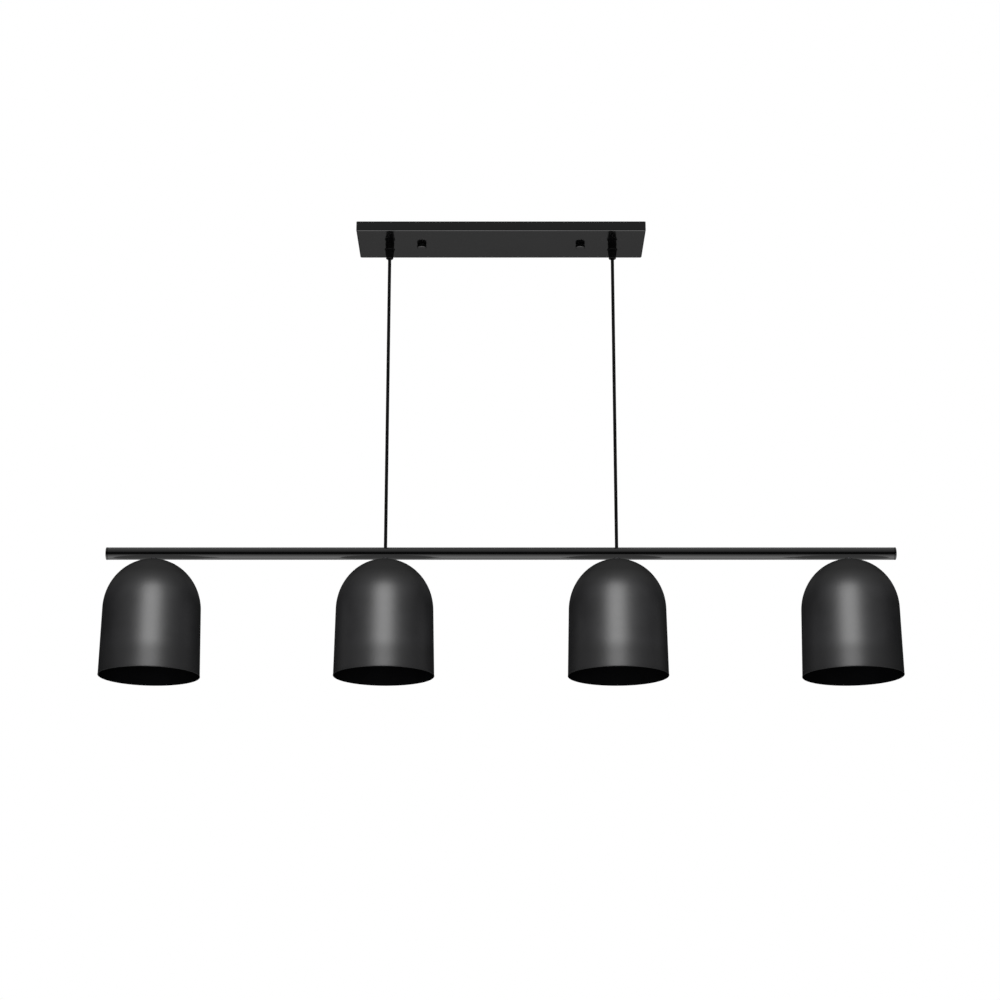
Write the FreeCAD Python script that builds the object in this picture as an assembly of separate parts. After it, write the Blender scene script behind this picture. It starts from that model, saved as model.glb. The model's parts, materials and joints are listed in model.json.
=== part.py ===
"""Linear pendant lamp for a pool table: a shallow canopy, two cords, a round bar and four domed shades.

The origin is the centre of the ceiling face, +Z is up and +X runs along the bar. Sizes are millimetres.
Every separate piece is written to parts/NODE.step, as one solid or as a group of identical solids.
"""

import FreeCAD
import Part
import math
import os

V = FreeCAD.Vector
UP = V(0, 0, 1)
ALONG = V(1, 0, 0)
ACROSS = V(0, 1, 0)

# ---- driving dimensions -------------------------------------------------------------------------
BAR_LENGTH = 1013.0
BAR_R = 15.9 / 2
BAR_WALL = 1.2
LAMP_PITCH = 296.8              # from shade to shade, and from cord to cord
LAMP_COUNT = 4
HANG_DROP = 426.2               # from the canopy's underside to the bar's axis at rest

CANOPY_LENGTH = 381.0
CANOPY_DEPTH = 95.4
CANOPY_HEIGHT = 13.0
CANOPY_WALL = 1.0
CANOPY_EDGE_R = 1.5
CANOPY_CORNER_R = 2.0

STUD_SPACING = 211.5
STUD_R = 2.0
STRAP_LENGTH = 232.0
STRAP_WIDTH = 20.0
STRAP_THICK = 1.6
BOX_SLOT_SPACING = 79.4         # slot centres suit junction boxes with screws 70 to 89 apart
BOX_SLOT_LENGTH = 16.0
BOX_SLOT_R = 2.5
CENTRE_HOLE_R = 5.2

CORD_R = 2.15
WIRE_R = 0.9
LEAD_R = 0.75

DOME_RISE = 66.7                # height of the shade's half-ellipsoid crown
SHOULDER_R = 62.2
RIM_R = 63.9
SHADE_HEIGHT = 151.9
SHADE_WALL = 1.0
HEM_R = 0.55                    # rolled hem round the rim
HEM_PROUD = 0.25                # how far the hem stands out from the skirt

FIT = 0.05                      # running clearance between pieces that turn or slide on each other
SWAY_LIMIT = 10.0               # degrees that the cord's seat in the bar leaves room for
TILT_LIMIT = 18.5               # degrees that the gland's mouth leaves room for, in any direction

# ---- places that follow from them ---------------------------------------------------------------
UNDERSIDE = -CANOPY_HEIGHT
FLOOR = UNDERSIDE + CANOPY_WALL
BAR_Z = UNDERSIDE - HANG_DROP
CORD_X = LAMP_PITCH / 2
STUD_X = STUD_SPACING / 2
LAMP_X = [(i - (LAMP_COUNT - 1) / 2) * LAMP_PITCH for i in range(LAMP_COUNT)]
TUBE_BORE_R = BAR_R - BAR_WALL
SHADE_TOP = BAR_Z - BAR_R - FIT
RIM_Z = SHADE_TOP - SHADE_HEIGHT

# Upper bend of each cord: a ball-shaped clamp bush inside the gland nut.
UPPER_BALL_R = 3.0
UPPER_PIVOT_Z = UNDERSIDE - 17.5
# Lower bend of each cord: a ball foot held in a seat in the bar's top.
LOWER_BALL_R = 3.1
LOWER_PIVOT_Z = BAR_Z + 4.0


# ---- helpers ------------------------------------------------------------------------------------
def cylinder(radius, z_low, z_high, x=0.0, y=0.0):
    return Part.makeCylinder(radius, z_high - z_low, V(x, y, z_low), UP)


def ball(radius, z, x=0.0, y=0.0):
    return Part.makeSphere(radius, V(x, y, z))


def block(x_low, x_high, y_low, y_high, z_low, z_high):
    return Part.makeBox(x_high - x_low, y_high - y_low, z_high - z_low, V(x_low, y_low, z_low))


def turned(outline, x=0.0):
    """Solid of revolution about the vertical axis at x. The outline is a closed list of (radius, z)."""
    points = [V(r, 0, z) for r, z in outline]
    face = Part.Face(Part.makePolygon(points + [points[0]]))
    solid = face.revolve(V(0, 0, 0), UP, 360)
    return moved(Part.Solid(solid) if solid.ShapeType != "Solid" else solid, x)


def moved(shape, x=0.0, y=0.0, z=0.0):
    placed = shape.copy()
    placed.translate(V(x, y, z))
    return placed


def mirrored(shape):
    """The same piece on the other side of the lamp's middle."""
    return shape.mirror(V(0, 0, 0), ALONG)


def prism(outline, z_low, z_high, x=0.0, y=0.0):
    points = [V(x + px, y + py, z_low) for px, py in outline]
    return Part.Face(Part.makePolygon(points + [points[0]])).extrude(V(0, 0, z_high - z_low))


def polygon(sides, across_flats):
    corner = across_flats / 2 / math.cos(math.pi / sides)
    turns = [2 * math.pi * (i + 0.5) / sides for i in range(sides)]
    return [(corner * math.cos(a), corner * math.sin(a)) for a in turns]


def hex_nut(across_flats, bore_r, z_low, z_high, x=0.0):
    """Hexagon nut with both faces chamfered to a round."""
    corner = across_flats / 2 / math.cos(math.pi / 6)
    lift = (corner - across_flats / 2) * 0.6
    crown = turned([(0, z_low), (across_flats / 2, z_low), (corner, z_low + lift),
                    (corner, z_high - lift), (across_flats / 2, z_high), (0, z_high)])
    blank = prism(polygon(6, across_flats), z_low, z_high).common(crown)
    return moved(blank.cut(cylinder(bore_r, z_low, z_high)), x)


def knurled(radius, depth, teeth):
    """Outline of a straight knurl: points alternate between crest and root."""
    outline = []
    for i in range(teeth * 2):
        r = radius - depth * (i % 2)
        a = math.pi * i / teeth
        outline.append((r * math.cos(a), r * math.sin(a)))
    return outline


def rounded_path(points, bend_r):
    """Edges of a line through the points with every corner rounded."""
    corners = [V(*p) for p in points]
    edges = []
    last = corners[0]
    for before, corner, after in zip(corners, corners[1:], corners[2:]):
        back, onward = before - corner, after - corner
        room = 0.48 * min(back.Length, onward.Length)
        back.normalize()
        onward.normalize()
        half = back.getAngle(onward) / 2
        setback = min(bend_r / math.tan(half), room)
        radius = setback * math.tan(half)
        inward = back + onward
        inward.normalize()
        start, end = corner + back * setback, corner + onward * setback
        edges.append(Part.makeLine(last, start))
        edges.append(Part.Arc(start, corner + inward * (radius / math.sin(half) - radius), end).toShape())
        last = end
    return edges + [Part.makeLine(last, corners[-1])]


def swept(edges, radius):
    """Round bar along the edges."""
    start = edges[0].Vertexes[0].Point
    ring_wire = Part.Wire(Part.Edge(Part.Circle(start, edges[0].Vertexes[1].Point - start, radius)))
    return Part.Wire(edges).makePipeShell([ring_wire], True, False)


def cable(points, radius, bend_r=3.0):
    return swept(rounded_path(points, bend_r), radius)


def screw_wave(z_low, z_high, mean_r, pitch=3.63, depth=0.55, steps=8):
    """Points along the rolled E26 thread form, from z_low up to z_high."""
    count = int(round((z_high - z_low) / pitch * steps))
    levels = [z_low + (z_high - z_low) * i / count for i in range(count + 1)]
    return [(mean_r + depth * math.cos(2 * math.pi * (z - BAR_Z) / pitch), z) for z in levels]


def write(name, *solids):
    """Writes one node, checking that each solid is closed and sound."""
    for solid in solids:
        if not solid.isValid() or solid.Volume <= 0:
            raise ValueError(name + " has a bad solid")
    shape = solids[0] if len(solids) == 1 else Part.makeCompound(list(solids))
    shape.exportStep(os.path.join("parts", name + ".step"))


def on_both_sides(shape):
    """The right-hand piece, and the same piece on the left."""
    return [shape, mirrored(shape)]


# ---- ceiling group ------------------------------------------------------------------------------
def canopy():
    """Pressed steel tray, open towards the ceiling, with soft lower edges."""
    def tray(inset, floor_z, corner_r, edge_r):
        half_x, half_y = CANOPY_LENGTH / 2 - inset, CANOPY_DEPTH / 2 - inset
        body = block(-half_x, half_x, -half_y, half_y, floor_z, 0)
        uprights = [e for e in body.Edges if abs(e.tangentAt(e.FirstParameter).z) > 0.9]
        body = body.makeFillet(corner_r, uprights)
        rim = [e for e in body.Edges if e.BoundBox.ZMax < floor_z + 0.01]
        return body.makeFillet(edge_r, rim)

    shell = tray(0, UNDERSIDE, CANOPY_CORNER_R, CANOPY_EDGE_R)
    shell = shell.cut(tray(CANOPY_WALL, FLOOR, CANOPY_CORNER_R / 2, CANOPY_EDGE_R / 2))
    for side in (-1, 1):
        shell = shell.cut(cylinder(GRIP_STEM_R + 0.15, UNDERSIDE - 1, 0, side * CORD_X))
        shell = shell.cut(cylinder(STUD_R + 0.3, UNDERSIDE - 1, 0, side * STUD_X))
    return shell


def slot(x):
    """Cutter for one lengthwise slot through the strap."""
    half = BOX_SLOT_LENGTH / 2 - BOX_SLOT_R
    ends = [cylinder(BOX_SLOT_R, -STRAP_THICK - 1, 1, x + side * half) for side in (-1, 1)]
    middle = block(x - half, x + half, -BOX_SLOT_R, BOX_SLOT_R, -STRAP_THICK - 1, 1)
    return middle.fuse(ends)


def mounting_bracket():
    """Flat steel strap that screws to the ceiling box and carries the two studs."""
    half = STRAP_LENGTH / 2
    strap = block(-half, half, -STRAP_WIDTH / 2, STRAP_WIDTH / 2, -STRAP_THICK, 0)
    strap = strap.makeFillet(6.0, [e for e in strap.Edges if abs(e.tangentAt(e.FirstParameter).z) > 0.9])
    for side in (-1, 1):
        strap = strap.cut(slot(side * BOX_SLOT_SPACING / 2))
        strap = strap.cut(cylinder(STUD_R, -STRAP_THICK - 1, 1, side * STUD_X))
    strap = strap.cut(cylinder(CENTRE_HOLE_R, -STRAP_THICK - 1, 1))
    return strap.cut(cylinder(STUD_R, -STRAP_THICK - 1, 1, GROUND_SCREW_X))


STUD_TIP_Z = UNDERSIDE - 4.0
STUD_CHAMFER = 0.6
STUD_NUT = (7.0, 3.0)           # across flats, thickness


def canopy_stud():
    """Threaded stud: a plain shank with a chamfered tip."""
    return turned([(0, 0), (STUD_R, 0), (STUD_R, STUD_TIP_Z + STUD_CHAMFER),
                   (STUD_R - STUD_CHAMFER, STUD_TIP_Z), (0, STUD_TIP_Z)], STUD_X)


CAP_NUT_R = 6.15
CAP_NUT_HEIGHT = 5.1
CAP_NUT_KNURL = (0.35, 40)      # depth, teeth
CAP_NUT_CHAMFERS = (0.7, 0.5)   # at its free end, at the canopy
CAP_WASHER_THICK = 0.4


def cap_nut():
    """Low knurled thumb nut with a blind bore, chamfered at both ends of the knurl."""
    top = UNDERSIDE - CAP_WASHER_THICK - FIT
    bottom = top - CAP_NUT_HEIGHT
    low, high = CAP_NUT_CHAMFERS
    blank = prism(knurled(CAP_NUT_R, *CAP_NUT_KNURL), bottom, top)
    envelope = turned([(0, bottom), (CAP_NUT_R - low, bottom), (CAP_NUT_R, bottom + low),
                       (CAP_NUT_R, top - high), (CAP_NUT_R - high, top), (0, top)])
    bore = cylinder(STUD_R + FIT, STUD_TIP_Z - 0.3, top)
    return moved(blank.common(envelope).cut(bore), STUD_X)


def cap_washer():
    ring = cylinder(CAP_NUT_R - 1.2, UNDERSIDE - CAP_WASHER_THICK, UNDERSIDE)
    return moved(ring.cut(cylinder(STUD_R + 0.15, UNDERSIDE - 1, UNDERSIDE)), STUD_X)


GROUND_SCREW_X = 24.0
GROUND_HEAD_HEIGHT = 2.2
GROUND_HEAD_R = 4.0
LUG_THICK = 0.8


def ground_screw():
    """Bonding screw under the strap, with a driver slot in its head."""
    low = -STRAP_THICK - LUG_THICK - GROUND_HEAD_HEIGHT
    head = turned([(0, low), (GROUND_HEAD_R - 1, low), (GROUND_HEAD_R, low + 0.8),
                   (GROUND_HEAD_R, -STRAP_THICK - LUG_THICK), (STUD_R, -STRAP_THICK - LUG_THICK),
                   (STUD_R, 0), (0, 0)], GROUND_SCREW_X)
    return head.cut(block(GROUND_SCREW_X - 5, GROUND_SCREW_X + 5, -0.4, 0.4, low - 1, low + 1.0))


CONNECTOR_X = {"line": -16.0, "neutral": 0.0, "ground": 16.0}
CONNECTOR_Y = 14.0
CONNECTOR_Z = FLOOR + 4.75
CONNECTOR_LENGTH = 18.0
CONNECTOR_R = 4.6
CONNECTOR_BORE_R = 3.0
CONNECTOR_FLUTES = 8
FLUTE_R = 0.55


def wire_connector(x):
    """Twist-on connector: a fluted cone lying on the canopy's floor, mouth towards -Y."""
    shell = turned([(0, 0), (CONNECTOR_R - 0.4, 0), (CONNECTOR_R, 1.0), (CONNECTOR_R, 3.0),
                    (CONNECTOR_R - 1.3, CONNECTOR_LENGTH - 1.5), (CONNECTOR_R - 2.2, CONNECTOR_LENGTH),
                    (0, CONNECTOR_LENGTH)])
    flute_at = CONNECTOR_R - 0.25
    for i in range(CONNECTOR_FLUTES):
        a = 2 * math.pi * i / CONNECTOR_FLUTES
        flute = cylinder(FLUTE_R, 3.5, CONNECTOR_LENGTH, flute_at * math.cos(a), flute_at * math.sin(a))
        shell = shell.cut(flute)
    shell = shell.cut(cylinder(CONNECTOR_BORE_R, -1, CONNECTOR_LENGTH - 6))
    shell.rotate(V(0, 0, 0), ALONG, -90)
    return moved(shell, x, CONNECTOR_Y, CONNECTOR_Z)


def to_connector(name, offset, low_y):
    """Last points of a wire that runs along +Y into a connector's mouth, offset from its axis."""
    x = CONNECTOR_X[name] + offset
    return [(x, low_y, CONNECTOR_Z), (x, CONNECTOR_Y + 5.0, CONNECTOR_Z)]


LUG_BARREL_R = 1.6
LUG_BARREL_LENGTH = 6.0
LUG_BARREL_Y = -12.0            # its open end
LUG_BARREL_Z = -STRAP_THICK - LUG_BARREL_R - 0.1


def rod_along_y(radius, length, y_low):
    return Part.makeCylinder(radius, length, V(GROUND_SCREW_X, y_low, LUG_BARREL_Z), ACROSS)


def ground_lug():
    """Ring terminal under the ground screw, with a crimped barrel towards -Y."""
    low = -STRAP_THICK - LUG_THICK
    plate = cylinder(GROUND_HEAD_R - 0.2, low, -STRAP_THICK, GROUND_SCREW_X)
    plate = plate.fuse(block(GROUND_SCREW_X - 1.4, GROUND_SCREW_X + 1.4, -7, -2, low, -STRAP_THICK))
    barrel = rod_along_y(LUG_BARREL_R, LUG_BARREL_LENGTH, LUG_BARREL_Y)
    lug = plate.fuse(barrel).cut(cylinder(STUD_R + 0.02, low - 1, 0, GROUND_SCREW_X))
    return lug.cut(rod_along_y(WIRE_R, LUG_BARREL_LENGTH, LUG_BARREL_Y - 1)).removeSplitter()


def ground_wire():
    """Bonding wire from the lug's barrel round to the ground connector."""
    loop = [(GROUND_SCREW_X, -8.0, LUG_BARREL_Z), (GROUND_SCREW_X, -16.0, LUG_BARREL_Z)]
    return cable(loop + to_connector("ground", 1.3, -16.0), WIRE_R)


# ---- cord grips ---------------------------------------------------------------------------------
GRIP_STEM_R = 4.95
GRIP_STEM_TOP = FLOOR + 3.4
GRIP_LOCK_NUT = (14.0, 3.0)     # across flats, thickness
GRIP_BODY_R = 6.0
GRIP_BODY_HEIGHT = 6.3
GRIP_FLAT = 5.55                # half the width across the shoulder's two flats
GLAND_SPIGOT_R = 4.5
GLAND_SPIGOT_DROP = 13.0
GLAND_MOUTH_DROP = 20.9
GLAND_BORE_R = 3.6
GLAND_RING_R = 6.85
GLAND_RING_HEIGHT = 2.3
GLAND_RING_CHAMFER = 0.5
GLAND_KNURL = (0.3, 36)         # depth, teeth


def grip_body():
    """Moulded strain relief: stem through the canopy, shoulder below it, spigot inside the gland nut."""
    shoulder = UNDERSIDE - GRIP_BODY_HEIGHT
    spigot = UNDERSIDE - GLAND_SPIGOT_DROP
    body = turned([(0, GRIP_STEM_TOP), (GRIP_STEM_R - 0.5, GRIP_STEM_TOP), (GRIP_STEM_R, GRIP_STEM_TOP - 0.5),
                   (GRIP_STEM_R, UNDERSIDE), (GRIP_BODY_R, UNDERSIDE), (GRIP_BODY_R, shoulder + 0.4),
                   (GRIP_BODY_R - 0.4, shoulder), (GLAND_SPIGOT_R, shoulder), (GLAND_SPIGOT_R, spigot),
                   (0, spigot)])
    for low, high in ((-2 * GRIP_BODY_R, -GRIP_FLAT), (GRIP_FLAT, 2 * GRIP_BODY_R)):
        body = body.cut(block(low, high, -GRIP_BODY_R, GRIP_BODY_R, shoulder - 0.1, UNDERSIDE - 1.4))
    return moved(body.cut(cylinder(CORD_R + 0.2, spigot - 1, GRIP_STEM_TOP + 1)), CORD_X)


def mouth_r(drop_below_pivot, tilt):
    """Radius that a cord, tilted about a pivot, sweeps at some distance from it."""
    lean = math.radians(tilt)
    return CORD_R / math.cos(lean) + drop_below_pivot * math.tan(lean) + 0.1


def gland_nut():
    """Tapered nut that squeezes the clamp bush. A knurled ring tops it; a bell mouth lets the cord lean."""
    top = UNDERSIDE - GRIP_BODY_HEIGHT - 0.15
    mouth = UNDERSIDE - GLAND_MOUTH_DROP
    ring_low = top - GLAND_RING_HEIGHT
    inner = GLAND_RING_R - GLAND_RING_CHAMFER
    rim = turned([(0, ring_low), (inner, ring_low), (GLAND_RING_R, ring_low + GLAND_RING_CHAMFER),
                  (GLAND_RING_R, top - GLAND_RING_CHAMFER), (inner, top), (0, top)])
    rim = rim.common(prism(knurled(GLAND_RING_R, *GLAND_KNURL), ring_low, top))
    taper = turned([(0, ring_low), (5.9, ring_low), (5.9, ring_low - 1.2), (4.9, mouth + 3.4),
                    (4.6, mouth + 1.5), (4.25, mouth + 0.5), (3.85, mouth), (0, mouth)])
    step = UNDERSIDE - GLAND_SPIGOT_DROP - 0.3
    bore = turned([(0, top + 1), (GLAND_SPIGOT_R + FIT, top + 1), (GLAND_SPIGOT_R + FIT, step),
                   (GLAND_BORE_R, step), (GLAND_BORE_R, UPPER_PIVOT_Z), (0, UPPER_PIVOT_Z)])
    bell = turned([(0, UPPER_PIVOT_Z), (mouth_r(0, TILT_LIMIT), UPPER_PIVOT_Z),
                   (mouth_r(UPPER_PIVOT_Z - mouth + 1, TILT_LIMIT), mouth - 1), (0, mouth - 1)])
    nut = rim.fuse(taper).cut(bore).cut(ball(UPPER_BALL_R + FIT, UPPER_PIVOT_Z)).cut(bell)
    return moved(nut.removeSplitter(), CORD_X)


def clamp_bush():
    """Ball-shaped rubber bush that the cord bends about, inside the gland nut."""
    return ball(UPPER_BALL_R, UPPER_PIVOT_Z, CORD_X)


# ---- cords --------------------------------------------------------------------------------------
COIL_X = 90.0
COIL_OUTER_R = 42.4
COIL_STEP = 2.5                 # how much smaller each half turn is than the one before
COIL_HALF_TURNS = 6
COIL_Z = FLOOR + CORD_R + 0.15
CROSSING_Z = -4.0               # height at which a cord crosses over its own coil
CORD_END_X = 38.0
CORD_END_Y = -8.0


def slack_coil():
    """Spare cord: up through the grip, over to a flat coil on the canopy's floor, and out to the middle."""
    turn_off = (CORD_X, 7.0, CROSSING_Z)
    edges = rounded_path([(CORD_X, 0, UPPER_PIVOT_Z + 1.0), (CORD_X, 0, CROSSING_Z), turn_off], 3.0)
    edges += rounded_path([turn_off, (CORD_X, 14, CROSSING_Z), (CORD_X, COIL_OUTER_R, COIL_Z),
                           (COIL_X, COIL_OUTER_R, COIL_Z)], 6.0)
    # Half circles whose centres step back and forth make a flat coil that closes in on itself.
    radius, y, side = COIL_OUTER_R, COIL_OUTER_R, -1
    for _ in range(COIL_HALF_TURNS):
        far_y = y + side * 2 * radius
        middle = V(COIL_X + side * radius, (y + far_y) / 2, COIL_Z)
        edges.append(Part.Arc(V(COIL_X, y, COIL_Z), middle, V(COIL_X, far_y, COIL_Z)).toShape())
        y, side = far_y, -side
        radius -= COIL_STEP
    edges += rounded_path([(COIL_X, y, COIL_Z), (COIL_X - 2, y, COIL_Z), (COIL_X - 18, y, CROSSING_Z),
                           (COIL_X - 36, y, CROSSING_Z), (CORD_END_X + 4, y - 4, COIL_Z),
                           (CORD_END_X, y - 12, COIL_Z), (CORD_END_X, CORD_END_Y, COIL_Z)], 8.0)
    return swept(edges, CORD_R).cut(ball(UPPER_BALL_R + FIT, UPPER_PIVOT_Z, CORD_X))


def hanging_cord():
    """Straight hanging length, hollowed at both ends to seat on the clamp bush and on the foot."""
    cord = cylinder(CORD_R, LOWER_PIVOT_Z, UPPER_PIVOT_Z, CORD_X)
    cord = cord.cut(ball(UPPER_BALL_R + FIT, UPPER_PIVOT_Z, CORD_X))
    return cord.cut(ball(LOWER_BALL_R + FIT, LOWER_PIVOT_Z, CORD_X))


def cord_foot():
    """Crimped ball that carries the bar, with a flat where the conductors leave it."""
    foot = ball(LOWER_BALL_R, LOWER_PIVOT_Z, CORD_X)
    flat_z = LOWER_PIVOT_Z - LOWER_BALL_R + 0.5
    return foot.cut(cylinder(LOWER_BALL_R, flat_z - 1, flat_z, CORD_X))


def canopy_lead(side, name, offset, outward, low_y):
    """Conductor from the end of a slack coil to a connector. side is -1 for the left cord."""
    x = side * (CORD_END_X + outward)
    return cable([(x, CORD_END_Y - 0.1, COIL_Z), (x, low_y + 6, COIL_Z), (x - side * 9, low_y, CONNECTOR_Z)]
                 + to_connector(name, offset, low_y), WIRE_R)


# ---- bar ----------------------------------------------------------------------------------------
TUBE_HOLE_R = 4.1
NIPPLE_R = 4.9
NIPPLE_BORE_R = 3.4
NIPPLE_TOP = BAR_Z - 1.9
NIPPLE_BOTTOM = BAR_Z - 22.0
SADDLE_TOP = BAR_Z - 1.75
CAP_FLANGE = 2.4


def rod_along_x(radius, x_low, x_high, y=0.0, z=BAR_Z):
    return Part.makeCylinder(radius, x_high - x_low, V(x_low, y, z), ALONG)


def bar_tube():
    half = BAR_LENGTH / 2 - CAP_FLANGE
    tube = rod_along_x(BAR_R, -half, half).cut(rod_along_x(TUBE_BORE_R, -half - 1, half + 1))
    for x in (-CORD_X, CORD_X):
        tube = tube.cut(cylinder(TUBE_HOLE_R, BAR_Z, BAR_Z + BAR_R + 1, x))
    for x in LAMP_X:
        tube = tube.cut(cylinder(NIPPLE_R + 0.1, BAR_Z - BAR_R - 1, BAR_Z, x))
    return tube


def end_cap():
    """Plug with a rounded flange that closes the bar's right end."""
    end = BAR_LENGTH / 2
    flange = rod_along_x(BAR_R + 0.15, end - CAP_FLANGE, end)
    flange = flange.makeFillet(0.7, [e for e in flange.Edges if e.BoundBox.XMin > end - 0.01])
    plug = rod_along_x(TUBE_BORE_R - FIT, end - CAP_FLANGE - 12, end - CAP_FLANGE)
    hollow = rod_along_x(TUBE_BORE_R - 1.5, end - CAP_FLANGE - 13, end - CAP_FLANGE)
    return flange.fuse(plug.cut(hollow)).removeSplitter()


def cord_seat():
    """Flush seat in the bar's top: the foot bears on its round inside, and its flange on the tube's wall."""
    def column(radius, skin_r):
        return cylinder(radius, BAR_Z + 0.4, BAR_Z + BAR_R, CORD_X).common(
            rod_along_x(skin_r, CORD_X - 10, CORD_X + 10))

    seat = column(5.6, TUBE_BORE_R - FIT).fuse(column(TUBE_HOLE_R - 0.05, BAR_R))
    throat = turned([(0, LOWER_PIVOT_Z), (mouth_r(0, SWAY_LIMIT), LOWER_PIVOT_Z),
                     (mouth_r(5, SWAY_LIMIT), LOWER_PIVOT_Z + 5), (0, LOWER_PIVOT_Z + 5)], CORD_X)
    seat = seat.cut(cylinder(LOWER_BALL_R + 0.1, BAR_Z, LOWER_PIVOT_Z, CORD_X))
    return seat.cut(ball(LOWER_BALL_R + FIT, LOWER_PIVOT_Z, CORD_X)).cut(throat).removeSplitter()


TRUNK_Y = 4.6
TRUNK_Z = BAR_Z - 0.7
TRUNK_END = 12.0


def harness(side):
    """One conductor of the bar's wiring: a trunk along the tube and a drop to each lampholder."""
    trunk = rod_along_x(WIRE_R, LAMP_X[0] - TRUNK_END, LAMP_X[-1] + TRUNK_END, side * TRUNK_Y, TRUNK_Z)
    solids = [trunk]
    beside = TRUNK_Y - WIRE_R - LEAD_R - 0.1
    for x in LAMP_X:
        drop = [(x - 11, side * beside, TRUNK_Z), (x - 4, side * beside, TRUNK_Z), (x, side * 1.7, TRUNK_Z),
                (x, side * 1.7, HOLDER_TOP - 8.0), (x, side * 7.3, INSULATOR_TOP + 1.3)]
        solids.append(cable(drop, LEAD_R, 1.6))
    return solids


def saddle_nut(x):
    """Threaded block inside the tube, shaped to its round floor, that takes a nipple."""
    body = block(x - 7, x + 7, -6, 6, BAR_Z - TUBE_BORE_R, SADDLE_TOP)
    body = body.common(rod_along_x(TUBE_BORE_R - FIT, x - 8, x + 8))
    return body.cut(cylinder(NIPPLE_R + 0.02, BAR_Z - BAR_R, BAR_Z, x))


# ---- lamp heads ---------------------------------------------------------------------------------
WASHER_TOP = SHADE_TOP - 2.35
WASHER_THICK = 1.0
LOCK_NUT = (14.0, 3.0)          # across flats, thickness
LOCK_NUT_TOP = WASHER_TOP - WASHER_THICK
HOLDER_TOP = LOCK_NUT_TOP - LOCK_NUT[1] - 0.1
INSULATOR_TOP = HOLDER_TOP - 14.0
BODY_TOP = HOLDER_TOP - 14.0
BODY_BOTTOM = BODY_TOP - 33.0
BODY_R = 19.0
HOLDER_BORE_R = 14.9
HOLDER_SHELF = INSULATOR_TOP - 7.1
SHELL_TOP = INSULATOR_TOP - 9.0
SHELL_BOTTOM = BODY_BOTTOM + 1.0
CAP_THREAD_R = 12.6
GLOBE_R = 29.5
GLOBE_WALL = 1.2
BULB_NECK_R = 13.3
BULB_LENGTH = 100.0
BULB_TIP = SHELL_TOP - 1.1
TERMINAL_Y = 10.5


def nipple(x):
    """Hollow threaded stem that joins the bar, the shade and the lampholder."""
    return cylinder(NIPPLE_R, NIPPLE_BOTTOM, NIPPLE_TOP, x).cut(
        cylinder(NIPPLE_BORE_R, NIPPLE_BOTTOM - 1, NIPPLE_TOP + 1, x))


def shade(x):
    """Spun steel dome: a half-ellipsoid crown on a slightly flared skirt, with a rolled hem at its rim."""
    spring_z = SHADE_TOP - DOME_RISE
    skirt_z = RIM_Z + HEM_R
    hole_r = NIPPLE_R + 0.1

    def crown_edge(inset):
        """Part of an ellipse in the XZ plane, from the hole at the top to the shoulder, and its two ends."""
        radius, rise = SHOULDER_R - inset, DOME_RISE - inset
        ellipse = Part.Ellipse(V(0, 0, spring_z + rise), V(radius, 0, spring_z), V(0, 0, spring_z))
        start = math.asin(hole_r / radius)
        edge = Part.ArcOfEllipse(ellipse, start, math.pi / 2).toShape()
        return edge, V(hole_r, 0, spring_z + rise * math.cos(start)), V(radius, 0, spring_z)

    outer, outer_top, outer_spring = crown_edge(0)
    inner, inner_top, inner_spring = crown_edge(SHADE_WALL)
    outer_rim = V(RIM_R, 0, skirt_z)
    inner_rim = V(RIM_R - SHADE_WALL, 0, skirt_z)
    section = Part.Face(Part.Wire(Part.sortEdges([
        outer, Part.makeLine(outer_spring, outer_rim), Part.makeLine(outer_rim, inner_rim),
        Part.makeLine(inner_rim, inner_spring), inner, Part.makeLine(inner_top, outer_top)])[0]))
    dome = section.revolve(V(0, 0, 0), UP, 360)
    hem = Part.makeTorus(RIM_R + HEM_PROUD - HEM_R, HEM_R, V(0, 0, skirt_z), UP)
    return moved(dome.fuse(hem).removeSplitter().Solids[0], x)


def ring(x, outer_r, inner_r, z_low, z_high):
    return cylinder(outer_r, z_low, z_high, x).cut(cylinder(inner_r, z_low - 1, z_high + 1, x))


def holder_cap(x):
    """Top of the lampholder: a hub on the nipple that spreads to a cup."""
    top, low = HOLDER_TOP, BODY_TOP
    return turned([(NIPPLE_R + 0.02, top), (8.0, top), (8.6, top - 0.6), (8.8, top - 2.6), (13.5, top - 4.2),
                   (17.4, top - 7.4), (BODY_R - 0.4, top - 11.5), (BODY_R - 0.4, low + 0.05),
                   (BODY_R - 2.0, low + 0.05), (BODY_R - 2.0, top - 11.0), (15.8, top - 8.2),
                   (12.6, top - 5.7), (7.2, top - 4.2), (NIPPLE_R + 0.02, top - 4.2)], x)


def holder_body(x):
    """Phenolic lampholder barrel with three grip grooves and a shelf that holds the insulator."""
    high, low = BODY_TOP, BODY_BOTTOM
    bore_r = HOLDER_BORE_R
    outline = [(BODY_R - 2.0, high), (BODY_R, high)]
    for k in range(3):
        z = high - 8 - 3 * k
        outline += [(BODY_R, z), (BODY_R - 0.6, z - 0.5), (BODY_R - 0.6, z - 1.1), (BODY_R, z - 1.6)]
    outline += [(BODY_R, low + 1.2), (BODY_R - 0.4, low + 0.4), (BODY_R - 1.2, low), (bore_r + 0.6, low),
                (bore_r, low + 0.6), (bore_r, HOLDER_SHELF), (BODY_R - 2.0, HOLDER_SHELF)]
    return turned(outline, x)


def screw_shell(x):
    """Rolled brass thread that holds the bulb's cap."""
    inner = screw_wave(SHELL_BOTTOM, SHELL_TOP, CAP_THREAD_R + 0.25)
    outer = [(r + 0.35, z) for r, z in inner]
    return turned(outer + inner[::-1], x)


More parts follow.
